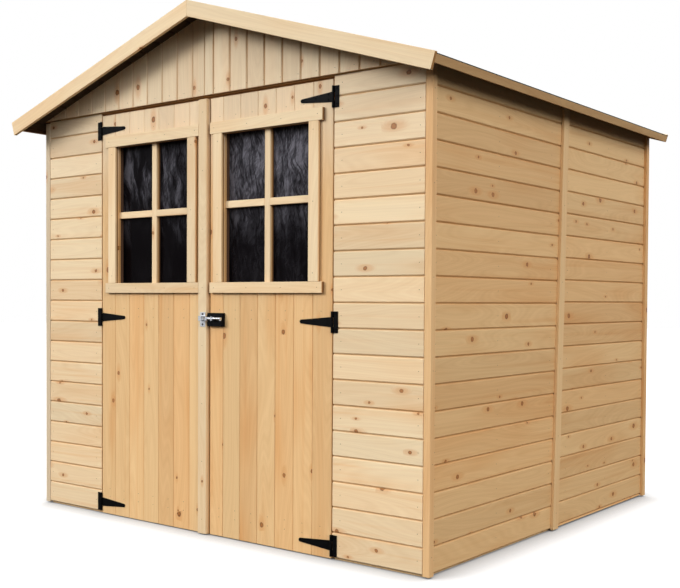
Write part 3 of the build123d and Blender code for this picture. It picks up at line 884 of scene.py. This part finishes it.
# ---------------------------------------------------------------- nails in the leaves
SURROUND_NAIL = 22 * MM
SILL_NAIL = 20 * MM
STILE_NAIL = 30 * MM  # the pane's corners to the nails in the stiles
LEDGE_NAILS = (50 * MM, 18 * MM)  # in from the leaf's edges, and from the ledge's edges
STRIP_LEVELS = steps(60 * MM, 1640 * MM, 8)
for side, _ in SIDES:
    trim_low, trim_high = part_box(f"{side}_window_surround")
    pane_low, pane_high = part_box(f"{side}_window_pane")
    low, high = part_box(f"{side}_door_boards")
    rails = (trim_high.z - SURROUND_NAIL, trim_low.z + SILL_NAIL)
    spots = facing_front(steps(trim_low.x, trim_high.x, 4, SURROUND_NAIL), trim_low.y, rails)
    stiles = (pane_low.x - SURROUND_NAIL, pane_high.x + SURROUND_NAIL)
    spots += facing_front(stiles, trim_low.y, steps(pane_low.z, pane_high.z, 3, STILE_NAIL))
    ledges = points(frame["nodes"][f"{side}_door_ledges"])[:, 2]
    edges = sorted({round(float(z), 4) for z in ledges})
    for foot, top in zip(edges[::2], edges[1::2]):
        rows = (foot + LEDGE_NAILS[1], top - LEDGE_NAILS[1])
        spots += facing_front(steps(low.x, high.x, 7, LEDGE_NAILS[0]), low.y, rows)
    if side == "left":
        strip_low, strip_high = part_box("cover_strip")
        spots += facing_front([(strip_low.x + strip_high.x) / 2], strip_low.y, STRIP_LEVELS)
    fasten(f"{side}_door_nails", spots, f"{side}_door", "nail")

# ---------------------------------------------------------------- screws of the ironwork
IRON = 2.5 * MM  # how far the hinges stand in front of the wall
STRAP_HALF = 18 * MM  # half a strap's height at its knuckles
PLATE_SCREWS = (13 * MM, 27 * MM)  # the doorway to a wall plate's screws, and from one to the next
STRAP_SCREWS = ((22 * MM, 9 * MM), (22 * MM, -9 * MM), (80 * MM, 0), (136 * MM, 0))
PIN = 3 * MM  # the doorway to the hinge pins
CASE_SCREWS = (22 * MM, 14 * MM, 6 * MM)  # in from the case's left and right ends, and from its edges
KEEP_SCREW = 8 * MM
KEEP_METAL = 2 * MM
straps_low, straps_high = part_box("right_hinge_straps")
case_low, case_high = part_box("bolt_housing")
levels = (straps_low.z + STRAP_HALF, (case_low.z + case_high.z) / 2, straps_high.z - STRAP_HALF)
iron_face = front - IRON
spots = []
for way, edge in ((-1, jamb_left), (1, jamb_right)):
    for level in levels:
        rows = (level - PLATE_SCREWS[1], level, level + PLATE_SCREWS[1])
        spots += facing_front([edge + way * PLATE_SCREWS[0]], iron_face, rows)
fasten("hinge_plate_screws", spots, "shed", "iron", 3.4 * MM, 1.4 * MM, True)
for side, way, pin in (("left", 1, jamb_left + PIN), ("right", -1, jamb_right - PIN)):
    spots = []
    for level in levels:
        spots += [((pin + way * x, iron_face, level + z), -NORTH) for x, z in STRAP_SCREWS]
    fasten(f"{side}_strap_screws", spots, f"{side}_door", "iron", 3.2 * MM, 1.4 * MM, True)

case_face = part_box("cover_strip")[0].y
columns = (case_low.x + CASE_SCREWS[0], case_high.x - CASE_SCREWS[1])
rows = (case_low.z + CASE_SCREWS[2], case_high.z - CASE_SCREWS[2])
spots = facing_front(columns, case_face, rows)
fasten("bolt_screws", spots, "right_door", "iron", 3 * MM, 1.2 * MM, True)
keep_low, keep_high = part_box("bolt_keep")
rows = (keep_low.z + KEEP_SCREW, keep_high.z - KEEP_SCREW)
spots = facing_front([(keep_low.x + keep_high.x) / 2], case_face - KEEP_METAL, rows)
fasten("keep_screws", spots, "left_door", "iron", 4 * MM, 1.2 * MM, True)

# ---------------------------------------------------------------- roofing felt
felt = points(frame["nodes"]["roofing_felt"])
felt_ridge = Vector((0, 0, felt[:, 2].max()))
felt_start, felt_end = felt[:, 1].min(), felt[:, 1].max()
FELT = 3 * MM
SLOPE = (felt[:, 0].max() - FELT) / math.cos(PITCH)
COURSE = (1 * MM, 610 * MM, 0, 1.4 * MM)  # distances of its edges, heights of its underside and top
CAP = (0.5 * MM, 110 * MM, 1.5 * MM, 2.9 * MM)
FOLD = (SLOPE - 0.2 * MM, SLOPE + 0.9 * MM, -11 * MM, 0)


def sheet(way, near, far, low, high):
    """A strip of felt lying on a slope: its distances from the ridge and its heights over the felt."""
    down, over = slope(way)
    middle = felt_ridge + down * ((near + far) / 2) + over * ((low + high) / 2)
    middle.y = (felt_start + felt_end) / 2
    size = Vector((far - near, felt_end - felt_start - 1 * MM, high - low)) / 2
    piece = block(middle - size, middle + size, (0, way * PITCH, 0))
    ease(piece, 0.4 * MM)
    return piece


CLOUTS = ((98 * MM, CAP[3]), (590 * MM, COURSE[3]), (SLOPE - 30 * MM, 0))  # from the ridge, and up
strips = []
spots = []
for way in (-1, 1):
    down, over = slope(way)
    strips += [sheet(way, *strip) for strip in (COURSE, CAP, FOLD)]
    for along, height in CLOUTS:
        row = felt_ridge + down * along + over * height
        spots += [(row + NORTH * y, over) for y in steps(felt_start, felt_end, 20, 40 * MM)]
gather("felt_strips", strips, "shed", "felt")
fasten("clout_nails", spots, "shed", "nail", 4.5 * MM, 0.8 * MM)

# ---------------------------------------------------------------- finishes on the bare CAD nodes
for finish, names in {
    "felt": ("roofing_felt",),
    "pane": ("left_window_pane", "right_window_pane"),
    "iron": ("hinge_plates", "left_hinge_straps", "right_hinge_straps"),
    "zinc": ("bolt_keep",),
    "bolt_case": ("bolt_housing",),
    "bolt_bar": ("bolt_rod",),
}.items():
    for name in names:
        materials = frame["nodes"][name].data.materials
        materials.clear()
        materials.append(FINISH[finish])

# ---------------------------------------------------------------- floor, light and camera
FLOOR_DROP = 0.4 * MM
SHADE_REACH = 160 * MM
deselect()
bpy.ops.mesh.primitive_plane_add(size=60, location=(0, 0, -FLOOR_DROP))
floor = bpy.context.object
floor.name = "studio_floor"
g = Graph("studio_floor")
shown = g.add("LightPath", output="Is Camera Ray")
# painted contact shadow: the floor's white, as the camera sees it, darkens near the shed
near = g.add("AmbientOcclusion", {"samples": 12}, {"Distance": SHADE_REACH}, "AO")
white = {"Color": (1, 1, 1, 1), "Strength": shown * near ** 1.7 * 0.9}
matt = {"Color": g.mix(shown, (0.06, 0.055, 0.05), (0.4, 0.4, 0.4))}
both = {0: g.add("Emission", None, white, "Emission"), 1: g.add("BsdfDiffuse", None, matt, "BSDF")}
g.finish(g.add("AddShader", None, both))
floor.data.materials.append(g.material)

world = bpy.data.worlds.new("studio")
bpy.context.scene.world = world
world.use_nodes = True
g = Graph(tree=world.node_tree)
height = g.split(g.add("TexCoord", output="Generated"))[2]
shown = g.add("LightPath", output="Is Camera Ray")
for ray in ("Is Glossy Ray", "Is Transmission Ray"):
    shown = g.math("MAXIMUM", shown, g.add("LightPath", output=ray))
soft = g.ramp(height, 0.02, 0.32) * (g.ramp(height, 0.9, 0.45) * 0.85 + 0.3)
strength = shown + (1.0 - shown) * soft
g.finish(g.add("Background", None, {"Color": (1, 1, 1, 1), "Strength": strength}), "World")


def sun(name, toward, strength, softness):
    """A lamp that shines from a direction."""
    data = bpy.data.lights.new(name, "SUN")
    data.energy = strength
    data.angle = math.radians(softness)
    lamp = bpy.data.objects.new(name, data)
    bpy.context.scene.collection.objects.link(lamp)
    lamp.rotation_euler = Vector(toward).to_track_quat("Z", "Y").to_euler()


sun("key_lamp", (-0.5, -0.8, 0.4), 1.75, 24)
sun("fill_lamp", (0.88, -0.4, 0.36), 1.35, 36)

lens = bpy.data.cameras.new("camera")
lens.sensor_width = 36
lens.lens = 54.27
lens.shift_y = 0.045
lens.clip_end = 200
camera = bpy.data.objects.new("camera", lens)
bpy.context.scene.collection.objects.link(camera)
yaw, pitch, roll = (math.radians(a) for a in (37.838, -1.372, -0.327))
turned = Matrix.Rotation(yaw, 3, "Z") @ Matrix.Rotation(pitch, 3, "X") @ Matrix.Rotation(roll, 3, "Y")
right, forward, upward = turned.col
facing = Matrix((right, upward, -forward)).transposed().to_4x4()
camera.matrix_world = Matrix.Translation((2.842, -3.709, 0.9173)) @ facing
bpy.context.scene.camera = camera
bpy.context.scene.view_settings.view_transform = "Standard"
